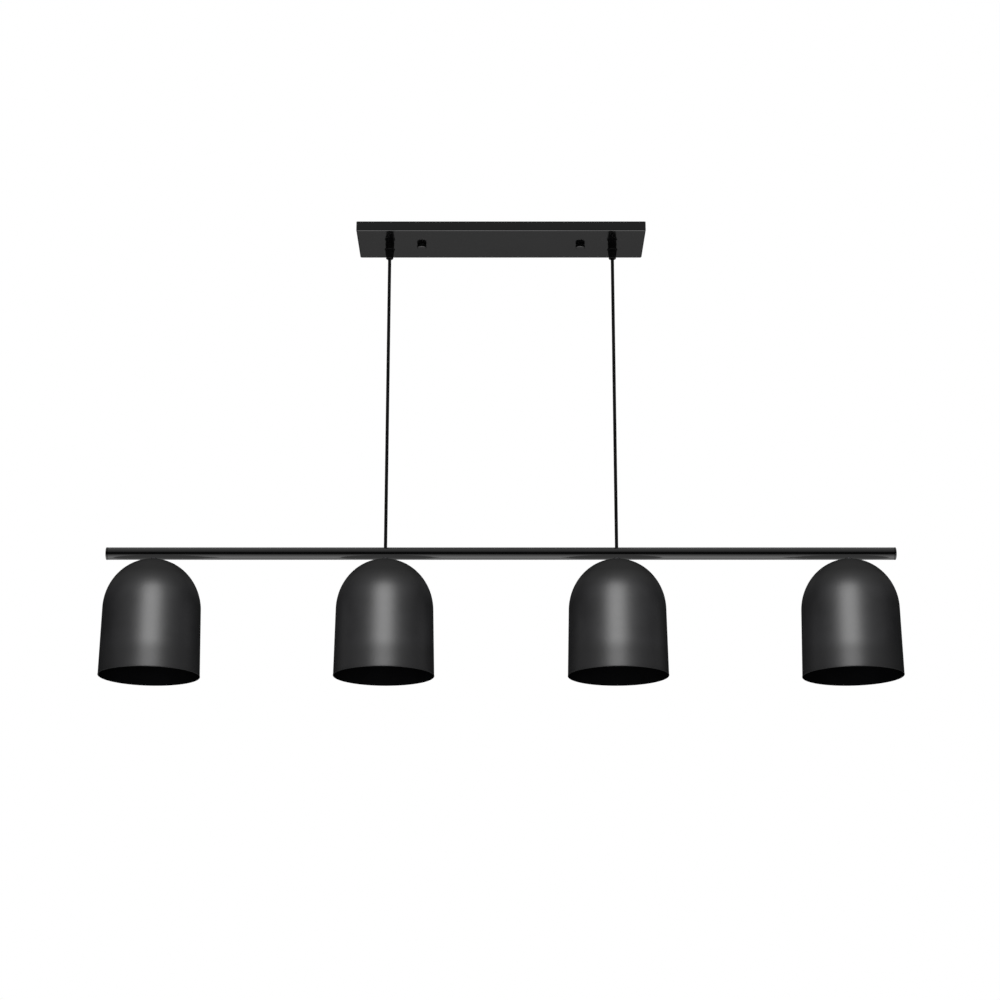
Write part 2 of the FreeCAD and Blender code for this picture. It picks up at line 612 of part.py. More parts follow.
def insulator(x):
    """Ceramic disc inside the lampholder, with a raised pad under the bulb's contact."""
    top = INSULATOR_TOP
    disc = turned([(0, top), (BODY_R - 2.1, top), (BODY_R - 2.1, top - 7.0), (12.0, top - 7.0),
                   (12.0, top - 6.0), (6.0, top - 6.0), (6.0, top - 7.4), (0, top - 7.4)], x)
    for side in (-1, 1):
        disc = disc.cut(cylinder(1.55, top - 4, top + 1, x, side * TERMINAL_Y))
    return disc


def centre_contact(x):
    """Sprung bronze button that meets the bulb's tip."""
    top = INSULATOR_TOP - 7.4
    tip = BULB_TIP + FIT
    return turned([(0, top), (3.6, top), (3.6, top - 0.7), (2.4, top - 0.9), (1.6, tip + 0.2), (0.9, tip),
                   (0, tip)], x)


def terminal_screw(x, y):
    """Slotted binding screw on top of the insulator."""
    top = INSULATOR_TOP
    screw = turned([(0, top + 2.0), (2.0, top + 2.0), (2.6, top + 1.3), (2.6, top), (1.5, top),
                    (1.5, top - 3.8), (0, top - 3.8)])
    screw = screw.cut(block(-3, 3, -0.35, 0.35, top + 1.1, top + 3))
    return moved(screw, x, y)


def bulb_base(x):
    """Screw cap of the bulb, with its stepped foot and centre contact."""
    top = BULB_TIP
    thread = screw_wave(BODY_BOTTOM + 0.6, top - 3.0, CAP_THREAD_R)
    outline = [(0, thread[0][1])] + thread
    outline += [(11.4, top - 1.9), (8.2, top - 1.1), (5.0, top - 0.9), (4.2, top - 0.2), (0, top)]
    return turned(outline, x)


def bulb_globe(x):
    """Frosted bulb envelope: a thin shell that swells from the neck to a round end."""
    neck_z = BODY_BOTTOM + 0.55
    centre_z = BULB_TIP - BULB_LENGTH + GLOBE_R

    def envelope(wall):
        """Closed face of the envelope's half section, inset by wall."""
        radius = GLOBE_R - wall

        def on_ball(latitude):
            a = math.radians(latitude)
            return V(radius * math.cos(a), 0, centre_z + radius * math.sin(a))

        join = math.radians(28)
        start, below, end = on_ball(-90), on_ball(-40), on_ball(28)
        neck = V(BULB_NECK_R - wall, 0, neck_z)
        throat = neck - UP * 3.0
        flare = Part.BSplineCurve()
        leaving = V(-math.sin(join), 0, math.cos(join)) * 22
        flare.interpolate(Points=[end, throat], Tangents=[leaving, UP * 16], TangentFlags=[True, True])
        edges = [Part.Arc(start, below, end).toShape(), flare.toShape(), Part.makeLine(throat, neck),
                 Part.makeLine(neck, V(0, 0, neck_z)), Part.makeLine(V(0, 0, neck_z), start)]
        return Part.Face(Part.Wire(edges)).revolve(V(0, 0, 0), UP, 360)

    return moved(envelope(0).cut(envelope(GLOBE_WALL)), x)


# ---- the whole lamp -----------------------------------------------------------------------------
def main():
    os.makedirs("parts", exist_ok=True)

    write("canopy", canopy())
    write("mounting_bracket", mounting_bracket())
    write("canopy_studs", *on_both_sides(canopy_stud()))
    stud_nut = hex_nut(STUD_NUT[0], STUD_R + 0.02, -STRAP_THICK - STUD_NUT[1], -STRAP_THICK, STUD_X)
    write("stud_lock_nuts", *on_both_sides(stud_nut))
    write("cap_nut_washers", *on_both_sides(cap_washer()))
    write("ground_screw", ground_screw())
    write("ground_lug", ground_lug())
    write("ground_wire", ground_wire())
    write("wire_connectors", *[wire_connector(x) for x in CONNECTOR_X.values()])
    write("line_lead", canopy_lead(-1, "line", 0.0, -1.15, -19.0))
    write("neutral_lead", canopy_lead(-1, "neutral", 0.0, 1.15, -23.0))
    write("ground_lead", canopy_lead(1, "ground", -1.3, 0.0, -23.0))
    lock_nut = hex_nut(GRIP_LOCK_NUT[0], GRIP_STEM_R + 0.02, FLOOR, FLOOR + GRIP_LOCK_NUT[1], CORD_X)
    write("grip_lock_nuts", *on_both_sides(lock_nut))

    sided = {"cap_nut": cap_nut(), "grip_body": grip_body(), "gland_nut": gland_nut(),
             "clamp_bush": clamp_bush(), "slack_coil": slack_coil(), "cord": hanging_cord(),
             "cord_foot": cord_foot(), "end_cap": end_cap()}
    for name, right in sided.items():
        write(name + "_right", right)
        write(name + "_left", mirrored(right))

    write("bar_tube", bar_tube())
    write("cord_seats", *on_both_sides(cord_seat()))
    write("harness_line", *harness(1))
    write("harness_neutral", *harness(-1))
    write("saddle_nuts", *[saddle_nut(x) for x in LAMP_X])
    write("lamp_nipples", *[nipple(x) for x in LAMP_X])
    write("shade_washers", *[ring(x, 12.0, NIPPLE_R + 0.1, LOCK_NUT_TOP, WASHER_TOP) for x in LAMP_X])
    shade_nut = hex_nut(LOCK_NUT[0], NIPPLE_R + 0.02, LOCK_NUT_TOP - LOCK_NUT[1], LOCK_NUT_TOP)
    write("shade_lock_nuts", *[moved(shade_nut, x) for x in LAMP_X])
    write("holder_caps", *[holder_cap(x) for x in LAMP_X])
    write("screw_shells", *[screw_shell(x) for x in LAMP_X])
    write("holder_insulators", *[insulator(x) for x in LAMP_X])
    write("centre_contacts", *[centre_contact(x) for x in LAMP_X])
    write("terminal_screws", *[terminal_screw(x, side * TERMINAL_Y) for x in LAMP_X for side in (-1, 1)])
    for number, x in enumerate(LAMP_X, start=1):
        write("shade_%d" % number, shade(x))
        write("holder_body_%d" % number, holder_body(x))
        write("bulb_base_%d" % number, bulb_base(x))
        write("bulb_globe_%d" % number, bulb_globe(x))


main()
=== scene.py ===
"""Looks of the pool table lamp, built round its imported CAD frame. Lengths are metres, +Z is up."""

import json
import math

import bmesh
import bpy
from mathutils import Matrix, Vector

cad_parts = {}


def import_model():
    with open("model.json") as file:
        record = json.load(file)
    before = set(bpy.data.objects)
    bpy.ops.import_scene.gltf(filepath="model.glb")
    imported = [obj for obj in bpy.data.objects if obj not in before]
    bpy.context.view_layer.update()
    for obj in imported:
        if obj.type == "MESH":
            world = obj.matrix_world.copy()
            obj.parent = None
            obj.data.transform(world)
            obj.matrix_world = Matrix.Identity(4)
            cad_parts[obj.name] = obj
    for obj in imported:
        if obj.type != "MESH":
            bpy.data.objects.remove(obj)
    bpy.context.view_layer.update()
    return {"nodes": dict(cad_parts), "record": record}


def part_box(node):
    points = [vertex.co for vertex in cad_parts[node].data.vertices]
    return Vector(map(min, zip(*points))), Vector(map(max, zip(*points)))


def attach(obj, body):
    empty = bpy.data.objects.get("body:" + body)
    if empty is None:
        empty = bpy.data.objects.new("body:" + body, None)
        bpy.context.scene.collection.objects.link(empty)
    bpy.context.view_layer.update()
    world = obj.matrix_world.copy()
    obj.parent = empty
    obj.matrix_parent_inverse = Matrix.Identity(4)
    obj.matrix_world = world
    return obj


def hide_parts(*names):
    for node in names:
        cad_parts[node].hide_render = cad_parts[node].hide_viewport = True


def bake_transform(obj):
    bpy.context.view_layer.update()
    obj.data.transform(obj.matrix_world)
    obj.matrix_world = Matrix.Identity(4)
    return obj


MM = 0.001
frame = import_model()


# ---- places read from the frame -----------------------------------------------------------------
def middle(node):
    """Centre of a CAD node's box."""
    low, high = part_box(node)
    return (low + high) / 2


BAR_LOW, BAR_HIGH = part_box("bar_tube")
BAR_MID = middle("bar_tube")
BAR_R = (BAR_HIGH.z - BAR_LOW.z) / 2
SHADES = ["shade_%d" % n for n in range(1, 5)]
SIDES = ("left", "right")


# ---- node tree helpers --------------------------------------------------------------------------
class Tree:
    """Thin wrapper that adds nodes to a material or world and links them."""

    def __init__(self, owner):
        owner.use_nodes = True
        self.tree = owner.node_tree
        self.tree.nodes.clear()

    def add(self, kind, values=None, **settings):
        node = self.tree.nodes.new(kind)
        for key, value in settings.items():
            setattr(node, key, value)
        for key, value in (values or {}).items():
            self.feed(node.inputs[key], value)
        return node

    def feed(self, socket, value):
        if isinstance(value, bpy.types.NodeSocket):
            self.tree.links.new(value, socket)
        else:
            socket.default_value = value

    def math(self, operation, a, b=0.0, c=0.0, clamp=False):
        node = self.add("ShaderNodeMath", {0: a, 1: b, 2: c}, operation=operation)
        node.use_clamp = clamp
        return node.outputs[0]

    def ramp(self, factor, stops, interpolation="LINEAR"):
        """Colour ramp. stops are (position, grey) or (position, colour)."""
        node = self.add("ShaderNodeValToRGB", {0: factor})
        ramp = node.color_ramp
        ramp.interpolation = interpolation
        while len(ramp.elements) < len(stops):
            ramp.elements.new(0.5)
        for element, (position, colour) in zip(ramp.elements, stops):
            element.position = position
            element.color = tuple(colour) + (1,) if hasattr(colour, "__len__") else (colour,) * 3 + (1,)
        return node.outputs[0]

    def remap(self, value, low, high):
        """Takes a 0..1 value to low..high."""
        return self.math("MULTIPLY_ADD", value, high - low, low)

    def mix(self, factor, a, b):
        node = self.add("ShaderNodeMix", {0: factor}, data_type="RGBA")
        self.feed(node.inputs[6], a)
        self.feed(node.inputs[7], b)
        return node.outputs[2]

    def noise(self, vector, size, detail=3.0, rough=0.5, stretch=None, distortion=0.0):
        """Noise whose features are about size metres across, stretched by a factor on each axis."""
        if stretch:
            scaled = self.add("ShaderNodeVectorMath", {0: vector, 1: stretch}, operation="MULTIPLY")
            vector = scaled.outputs[0]
        values = {"Vector": vector, "Scale": 1 / size, "Detail": detail, "Roughness": rough,
                  "Distortion": distortion}
        return self.add("ShaderNodeTexNoise", values).outputs[0]

    def height_of(self, vector):
        """The Z part of a vector socket."""
        return self.add("ShaderNodeSeparateXYZ", {0: vector}).outputs[2]

    def bump(self, height, distance, normal=None):
        """Normal bent by a 0..1 height that stands for distance metres."""
        values = {"Height": height, "Distance": distance, "Strength": 1.0}
        if normal:
            values["Normal"] = normal
        return self.add("ShaderNodeBump", values).outputs[0]


def rgb(colour, strength=1.0):
    """Opaque colour, made darker or lighter by strength."""
    return tuple(channel * strength for channel in colour) + (1,)


def grey(value):
    return (value, value, value, 1)


# ---- materials ----------------------------------------------------------------------------------
DUST = (0.20, 0.19, 0.175, 1)
# Dull black that painted shade blends a finish towards.
PAINTED_SHADE_BLACK = 0.004


def finish_material(t, values, shine=None, painted_reflection_glow=0.0):
    """Closes a material.

    An optional share says how much of the finish shows through a dull black blend; the rest is painted shade.
    An optional grey glow stands in for the piece in other pieces' reflections instead of its own shading: a
    painted reflection, though the piece is no lamp.
    """
    surface = t.add("ShaderNodeBsdfPrincipled", values).outputs[0]
    # Painted shade: blends the finish into a dull black by the given share.
    if shine is not None:
        painted_shade = t.add("ShaderNodeBsdfDiffuse", {0: grey(PAINTED_SHADE_BLACK)}).outputs[0]
        surface = t.add("ShaderNodeMixShader", {0: shine, 1: painted_shade, 2: surface}).outputs[0]
    # Painted reflection: other pieces' reflections see a flat grey glow here, though the piece is no lamp.
    if painted_reflection_glow:
        glossy = t.add("ShaderNodeLightPath").outputs["Is Glossy Ray"]
        glow = t.add("ShaderNodeEmission", {0: grey(painted_reflection_glow)}).outputs[0]
        surface = t.add("ShaderNodeMixShader", {0: glossy, 1: surface, 2: glow}).outputs[0]
    t.add("ShaderNodeOutputMaterial", {0: surface})


def painted(name, colour, rough, peel, grain, wear=0.25, dust=0.0, spread=0.06, metal_under=0.35,
            specular=0.5, ior=1.5, painted_shade=None, painted_reflection_glow=0.0):
    """Paint or powder over steel. peel and grain are the wide and the fine texture's bump heights in metres.

    The painted shade tuple is (clear height, shaded height, low shine, top shine): painted shade dims the
    finish from the clear height down to the shaded one, and on faces that look up.
    """
    material = bpy.data.materials.new(name)
    t = Tree(material)
    spot = t.add("ShaderNodeTexCoord").outputs["Object"]
    geometry = t.add("ShaderNodeNewGeometry")
    wide = t.noise(spot, 0.045, 4, 0.6)
    fine = t.noise(spot, 0.0011, 4, 0.65)
    peel_noise = t.noise(spot, 0.0045, 2, 0.4)
    # Fine wiping marks run every way across the finish.
    marks = t.noise(spot, 0.002, 3, 0.6, stretch=(0.12, 1.0, 1.0), distortion=0.6)
    marks = t.ramp(marks, [(0.46, 0.0), (0.62, 1.0)])
    # Edges lose a little paint where they are sharp.
    edge = t.ramp(geometry.outputs["Pointiness"], [(0.52, 0.0), (0.60, 1.0)])
    chips = t.ramp(t.noise(spot, 0.0035, 5, 0.7), [(0.50, 0.0), (0.66, 1.0)])
    worn = t.math("MULTIPLY", t.math("MULTIPLY", edge, chips), wear)
    # Dust settles on faces that look up.
    up = t.height_of(geometry.outputs["Normal"])
    patches = t.remap(t.noise(spot, 0.012, 6, 0.7), 0.2, 1.2)
    settled = t.math("MULTIPLY", t.ramp(up, [(0.35, 0.0), (0.95, 1.0)]), patches)
    settled = t.math("MULTIPLY", settled, dust, clamp=True)
    tint = t.mix(t.ramp(wide, [(0.35, 0.0), (0.65, 1.0)]), rgb(colour, 0.8), rgb(colour, 1.2))
    tint = t.mix(settled, tint, DUST)
    tint = t.mix(worn, tint, grey(metal_under))
    roughness = t.remap(wide, rough - spread, rough + spread)
    roughness = t.math("ADD", roughness, t.math("MULTIPLY", marks, spread * 0.5))
    roughness = t.math("ADD", roughness, t.math("MULTIPLY", settled, 0.35), clamp=True)
    bump = t.bump(peel_noise, peel)
    bump = t.bump(fine, grain, bump)
    shine = None
    # Painted shade: the finish is darkened towards the rim and on faces that look up.
    if painted_shade:
        clear_height, shaded_height, low_shine, top_shine = painted_shade
        lower = t.add("ShaderNodeMapRange", {0: t.height_of(spot), 1: shaded_height, 2: clear_height, 3: low_shine, 4: 1.0},
                      interpolation_type="SMOOTHSTEP").outputs[0]
        upper = t.ramp(up, [(0.26, 1.0), (0.64, top_shine)])
        shine = t.math("MULTIPLY", lower, upper)
    finish_material(t, {"Base Color": tint, "Roughness": roughness, "Normal": bump, "Metallic": worn,
                        "Specular IOR Level": specular, "IOR": ior}, shine, painted_reflection_glow)
    return material


def metal(name, colour, rough, stain=(0.5, 0.45, 0.4)):
    """Bare or plated metal with a grain drawn along Z, faint stains and bright edges."""
    material = bpy.data.materials.new(name)
    t = Tree(material)
    spot = t.add("ShaderNodeTexCoord").outputs["Object"]
    edge = t.ramp(t.add("ShaderNodeNewGeometry").outputs["Pointiness"], [(0.50, 0.0), (0.58, 1.0)])
    grain = t.noise(spot, 0.0006, 4, 0.6, stretch=(1, 1, 0.05))
    clouds = t.noise(spot, 0.009, 6, 0.65)
    stained = t.math("MULTIPLY", t.ramp(clouds, [(0.5, 0.0), (0.75, 1.0)]), 0.25)
    tint = t.mix(stained, rgb(colour), rgb([c * s for c, s in zip(colour, stain)]))
    tint = t.mix(t.math("MULTIPLY", edge, 0.3), tint, rgb([min(1, c * 1.25) for c in colour]))
    dulled = t.math("MULTIPLY", stained, 0.4)
    roughness = t.math("ADD", t.remap(grain, rough - 0.08, rough + 0.12), dulled, clamp=True)
    finish_material(t, {"Base Color": tint, "Roughness": roughness, "Metallic": 1.0, "Anisotropic": 0.35,
                        "Normal": t.bump(grain, 0.000012)})
    return material


def moulded(name, colour, rough, grain=0.00002, sheen=0.0, swirl=0.0, coat=0.0, second=None, specular=0.5):
    """Moulded plastic, rubber or ceramic: fine grain, swirls of a second colour and rubbed edges."""
    material = bpy.data.materials.new(name)
    t = Tree(material)
    spot = t.add("ShaderNodeTexCoord").outputs["Object"]
    geometry = t.add("ShaderNodeNewGeometry")
    clouds = t.noise(spot, 0.016, 5, 0.6)
    flow = t.noise(spot, 0.010, 6, 0.7, distortion=2.5)
    fine = t.noise(spot, 0.0007, 3, 0.6)
    rubbed = t.ramp(geometry.outputs["Pointiness"], [(0.50, 0.0), (0.60, 1.0)])
    second = second or [c * 1.6 + 0.004 for c in colour]
    swirls = t.math("MULTIPLY", t.ramp(flow, [(0.48, 0.0), (0.62, 1.0)]), swirl)
    tint = t.mix(swirls, rgb(colour), rgb(second))
    tint = t.mix(t.math("MULTIPLY", clouds, 0.25), tint, rgb(colour, 0.7))
    polished = t.math("MULTIPLY", rubbed, 0.12)
    roughness = t.math("SUBTRACT", t.remap(clouds, rough - 0.05, rough + 0.07), polished, clamp=True)
    finish_material(t, {"Base Color": tint, "Roughness": roughness, "Normal": t.bump(fine, grain),
                        "Sheen Weight": sheen, "Sheen Roughness": 0.4, "Coat Weight": coat,
                        "Coat Roughness": 0.08, "Specular IOR Level": specular})
    return material


def sheathing(name, colour, rough, sheen=0.08, specular=0.5):
    """Extruded cable sheath: faint ribs along Z, light scuffs and a waxy sheen."""
    material = bpy.data.materials.new(name)
    t = Tree(material)
    spot = t.add("ShaderNodeTexCoord").outputs["Object"]
    ribs = t.noise(spot, 0.0005, 2, 0.5, stretch=(1, 1, 0.02))
    patches = t.noise(spot, 0.02, 5, 0.6)
    scuffs = t.ramp(t.noise(spot, 0.003, 5, 0.7, stretch=(1, 1, 0.3)), [(0.58, 0.0), (0.72, 1.0)])
    tint = t.mix(t.math("MULTIPLY", scuffs, 0.35), rgb(colour), rgb(colour, 2.2))
    tint = t.mix(t.math("MULTIPLY", patches, 0.3), tint, rgb(colour, 0.7))
    scratched = t.math("MULTIPLY", scuffs, 0.12)
    roughness = t.math("ADD", t.remap(patches, rough - 0.06, rough + 0.06), scratched, clamp=True)
    finish_material(t, {"Base Color": tint, "Roughness": roughness, "Normal": t.bump(ribs, 0.00001),
                        "Sheen Weight": sheen, "Sheen Roughness": 0.35, "Specular IOR Level": specular})
    return material


def frosted(name):
    """Frosted bulb glass: white, translucent and faintly cloudy."""
    material = bpy.data.materials.new(name)
    t = Tree(material)
    spot = t.add("ShaderNodeTexCoord").outputs["Object"]
    clouds = t.noise(spot, 0.014, 5, 0.6)
    frost = t.noise(spot, 0.0004, 2, 0.6)
    tint = t.mix(clouds, (0.80, 0.79, 0.76, 1), (0.90, 0.89, 0.87, 1))
    finish_material(t, {"Base Color": tint, "Roughness": t.remap(clouds, 0.30, 0.42), "IOR": 1.5,
                        "Transmission Weight": 0.25, "Subsurface Weight": 0.35, "Subsurface Scale": 0.004,
                        "Normal": t.bump(frost, 0.000008)})
    return material


SHADE_RIM_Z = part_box("shade_1")[0].z
# Painted shade on the shades: their finish dims within 38 mm of the rim, most below 20 mm, and on the dome's
# upward faces.
LAMPSHADE_PAINTED_SHADE = (SHADE_RIM_Z + 38 * MM, SHADE_RIM_Z + 20 * MM, 0.62, 0.12)

GLOSS_BLACK = painted("gloss_black_enamel", (0.0012, 0.0012, 0.0013), 0.12, peel=0.0000025, grain=0.0000006,
                      wear=0.01, dust=0.03, spread=0.03)
# The shades' satin coat carries painted shade near the rim and on the dome's top, and a painted reflection: a
# grey glow that only other pieces' reflections see.
SATIN_BLACK = painted("satin_black_powder", (0.0018, 0.0018, 0.0020), 0.43, peel=0.000006, grain=0.000008,
                      wear=0.05, dust=0.02, spread=0.03, specular=0.92, ior=1.2, painted_shade=LAMPSHADE_PAINTED_SHADE,
                      painted_reflection_glow=0.8)
ZINC = metal("zinc_plated_steel", (0.62, 0.63, 0.65), 0.30, stain=(0.85, 0.82, 0.72))
DARK_STEEL = metal("dark_steel", (0.20, 0.20, 0.21), 0.45, stain=(0.8, 0.8, 0.8))
BRASS = metal("bright_brass", (0.80, 0.56, 0.25), 0.22, stain=(0.55, 0.40, 0.28))
CAP_METAL = metal("bulb_cap_aluminium", (0.74, 0.74, 0.75), 0.26)
GREEN_STEEL = painted("green_screw", (0.04, 0.26, 0.09), 0.32, peel=0.000004, grain=0.000004, wear=0.6)
# Painted shade: the shades' real black inside, made darker than the outer coat and nearly without
# reflections.
LAMPSHADE_INSIDE_PAINTED_SHADE = painted("shade_inside_black", (0.0008, 0.0008, 0.0009), 0.62, peel=0.000006, grain=0.00001,
                       wear=0.0, dust=0.0, spread=0.05, specular=0.05, ior=1.1)
NYLON = moulded("black_nylon", (0.0016, 0.0016, 0.0017), 0.45, grain=0.00001, swirl=0.25, specular=0.13,
                second=(0.0024, 0.0024, 0.0025))
RUBBER = moulded("bush_rubber", (0.010, 0.010, 0.010), 0.72, grain=0.00003, sheen=0.15, swirl=0.3)
PHENOLIC = moulded("brown_black_phenolic", (0.012, 0.009, 0.008), 0.26, swirl=0.6,
                   second=(0.035, 0.022, 0.016))
CERAMIC = moulded("white_ceramic", (0.80, 0.79, 0.76), 0.30, grain=0.00001, coat=0.5,
                  second=(0.72, 0.70, 0.66))
ORANGE = moulded("orange_connector", (0.62, 0.16, 0.03), 0.44, swirl=0.3, second=(0.72, 0.24, 0.06))
SHEATH = sheathing("black_cord_sheath", (0.0020, 0.0020, 0.0021), 0.40, sheen=0.0, specular=0.22)
WIRE_BLACK = sheathing("black_insulation", (0.012, 0.012, 0.012), 0.32)
WIRE_WHITE = sheathing("white_insulation", (0.72, 0.71, 0.68), 0.34)
WIRE_GREEN = sheathing("green_insulation", (0.03, 0.26, 0.07), 0.34)
GLASS = frosted("frosted_glass")

BY_SLOT = {
    "gloss_black_steel": GLOSS_BLACK, "gloss_black_nut": GLOSS_BLACK, "gloss_black_cap": GLOSS_BLACK,
    "zinc_steel": ZINC, "black_nylon": NYLON, "bush_rubber": RUBBER, "cord_sheath": SHEATH,
    "bright_brass": BRASS, "green_screw_steel": GREEN_STEEL, "green_wire": WIRE_GREEN,
    "black_wire": WIRE_BLACK, "white_wire": WIRE_WHITE, "connector_plastic": ORANGE,
    "satin_black_shade": SATIN_BLACK, "phenolic": PHENOLIC, "white_ceramic": CERAMIC,
    "bulb_cap_metal": CAP_METAL, "frosted_glass": GLASS,
}


def dress_frame():
    """Gives every CAD node its slot's material. The nipples show above the shades, so theirs is darker."""
    looks = {entry["node"]: BY_SLOT[entry["material_slot"]] for entry in frame["record"]["subparts"]}
    looks["lamp_nipples"] = DARK_STEEL
    for name, obj in frame["nodes"].items():
        obj.data.materials.clear()
        obj.data.materials.append(looks[name])


# ---- mesh helpers -------------------------------------------------------------------------------
PAST = 1.0 * MM                 # how far a drill runs on past the wall it goes through


def smoothed(mesh, sharp_degrees):
    """Smooth faces, with edges steeper than an angle kept sharp."""
    mesh.shade_smooth()
    mesh.set_sharp_from_angle(angle=math.radians(sharp_degrees))


def finished(name, bm, material, sharp_degrees=35):
    """Turns a bmesh into an object."""
    bmesh.ops.remove_doubles(bm, verts=bm.verts, dist=1e-7)
    bmesh.ops.recalc_face_normals(bm, faces=bm.faces)
    mesh = bpy.data.meshes.new(name)
    bm.to_mesh(mesh)
    bm.free()
    smoothed(mesh, sharp_degrees)
    mesh.materials.append(material)
    obj = bpy.data.objects.new(name, mesh)
    bpy.context.scene.collection.objects.link(obj)
    return obj


def drilled(obj, holes, sharp_degrees=30):
    """Cuts round upright holes, each (x, y, radius, low, high), through a piece's mesh."""
    bm = bmesh.new()
    for x, y, radius, low, high in holes:
        outline = [(0, low), (radius, low), (radius, high), (0, high)]
        lathe(bm, outline, Vector((x, y, 0)), segments=64, closed=False)
    drills = finished("drills", bm, obj.data.materials[0])
    change = obj.modifiers.new("holes", "BOOLEAN")
    change.operation = "DIFFERENCE"
    change.solver = "EXACT"
    change.object = drills
    bpy.context.view_layer.update()
    scene_now = bpy.context.evaluated_depsgraph_get()
    mesh = bpy.data.meshes.new_from_object(obj.evaluated_get(scene_now))
    obj.modifiers.clear()
    obj.data = mesh
    bpy.data.objects.remove(drills)
    smoothed(mesh, sharp_degrees)
    return obj


def lathe(bm, outline, centre, segments=96, axis="Z", closed=True, knurl=None):
    """Revolves an outline of (radius, height) points. Heights run along the axis from the centre.

    knurl is (teeth, depth, radius): rings wider than that radius get that many grooves.
    """
    rings = []
    for radius, height in outline:
        if radius < 1e-7:
            rings.append([bm.verts.new(centre + along(axis, 0, 0, height))])
            continue
        ring = []
        for i in range(segments):
            a = 2 * math.pi * i / segments
            r = radius
            if knurl and radius > knurl[2]:
                r -= knurl[1] * (0.5 - 0.5 * math.cos(knurl[0] * a))
            ring.append(bm.verts.new(centre + along(axis, r * math.cos(a), r * math.sin(a), height)))
        rings.append(ring)
    pairs = list(zip(rings, rings[1:]))
    if closed:
        pairs.append((rings[-1], rings[0]))
    for one, two in pairs:
        for i in range(segments):
            k = i + 1
            corners = [one[i % len(one)], one[k % len(one)], two[k % len(two)], two[i % len(two)]]
            corners = [v for place, v in enumerate(corners) if v not in corners[:place]]
            if len(corners) > 2:
                bm.faces.new(corners)


def along(axis, u, v, w):
    """Vector with w along the axis and u, v across it."""
    return Vector((w, u, v)) if axis == "X" else Vector((u, v, w))


SEAT_STEPS = 6                  # arc steps of a seat that takes a ball


def arc_points(centre_r, centre_h, radius, start, end, steps):
    """Points of an arc in the (radius, height) plane, angles in degrees."""
    points = []
    for i in range(steps + 1):
        a = math.radians(start + (end - start) * i / steps)
        points.append((centre_r + radius * math.cos(a), centre_h + radius * math.sin(a)))
    return points


# ---- shades -------------------------------------------------------------------------------------
DOME_RISE = 66.7 * MM
SHOULDER_R = 62.2 * MM
HEM_R = 0.55 * MM
HEM_PROUD = 0.25 * MM
SHADE_WALL = 1.0 * MM
STEM_HOLE_R = 5.0 * MM
DOME_STEPS = 40
SKIRT_STEPS = 16


def shade_piece(node):
    """Spun dome with its thickness, a rolled hem and a hole for the stem."""
    low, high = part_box(node)
    centre = Vector(((low.x + high.x) / 2, (low.y + high.y) / 2, 0))
    rim_r = (high.x - low.x) / 2 - HEM_PROUD
    spring = high.z - DOME_RISE
    skirt_low = low.z + HEM_R

    def skin(inset):
        """Outline from the stem hole down to the rim, inset from the outer skin."""
        radius, rise = SHOULDER_R - inset, DOME_RISE - inset
        first = math.asin(STEM_HOLE_R / radius)
        points = []
        for i in range(DOME_STEPS + 1):
            a = first + (math.pi / 2 - first) * i / DOME_STEPS
            points.append((radius * math.sin(a), spring + rise * math.cos(a)))
        for i in range(1, SKIRT_STEPS + 1):
            f = i / SKIRT_STEPS
            points.append((radius + (rim_r - SHOULDER_R) * f, spring + (skirt_low - spring) * f))
        return points

    hem = arc_points(rim_r + HEM_PROUD - HEM_R, skirt_low, HEM_R, 60, -235, 24)
    lip = (rim_r, hem[0][1] + 0.1 * MM)
    bm = bmesh.new()
    lathe(bm, skin(0)[:-1] + [lip] + hem + skin(SHADE_WALL)[::-1], centre, segments=160)
    obj = finished(node + "_skin", bm, SATIN_BLACK, 28)
    # Inward and downward faces inside the shade take the darker inside copy: painted shade.
    obj.data.materials.append(LAMPSHADE_INSIDE_PAINTED_SHADE)
    for face in obj.data.polygons:
        looks_inward = face.normal.dot((face.center - centre) * Vector((1, 1, 0))) < 0
        looks_down = face.normal.z < -0.3 and face.center.z > skirt_low + HEM_R
        if looks_inward or looks_down:
            face.material_index = 1
    return obj


# ---- canopy -------------------------------------------------------------------------------------
CANOPY_WALL = 1.0 * MM
CANOPY_EDGE_R = 1.5 * MM
CANOPY_CORNER_R = 2.0 * MM
GRIP_HOLE_R = 5.1 * MM
STUD_HOLE_R = 2.3 * MM
GUARD = 0.4 * MM                # extra points past a curve keep the flats beside it flat when smoothed
CORNER_GUARD = 0.5 * MM
FLOOR_GUARD = 1.2 * MM
SMALLEST_CORNER_R = 0.3 * MM


def rounded_ring(bm, half_x, half_y, radius, z, steps=6):
    """Ring of vertices round a rectangle with round corners."""
    ring = []
    for quarter in range(4):
        start = math.pi / 2 * quarter
        middle_x = (half_x - radius) * (1 if quarter in (0, 3) else -1)
        middle_y = (half_y - radius) * (1 if quarter in (0, 1) else -1)
        arc = [(middle_x + radius * math.cos(start + math.pi / 2 * i / steps),
                middle_y + radius * math.sin(start + math.pi / 2 * i / steps)) for i in range(steps + 1)]
        lead = (arc[0][0] + CORNER_GUARD * math.sin(start), arc[0][1] - CORNER_GUARD * math.cos(start))
        tail = (arc[-1][0] - CORNER_GUARD * math.cos(start), arc[-1][1] - CORNER_GUARD * math.sin(start))
        ring += [bm.verts.new((x, y, z)) for x, y in [lead] + arc + [tail]]
    return ring


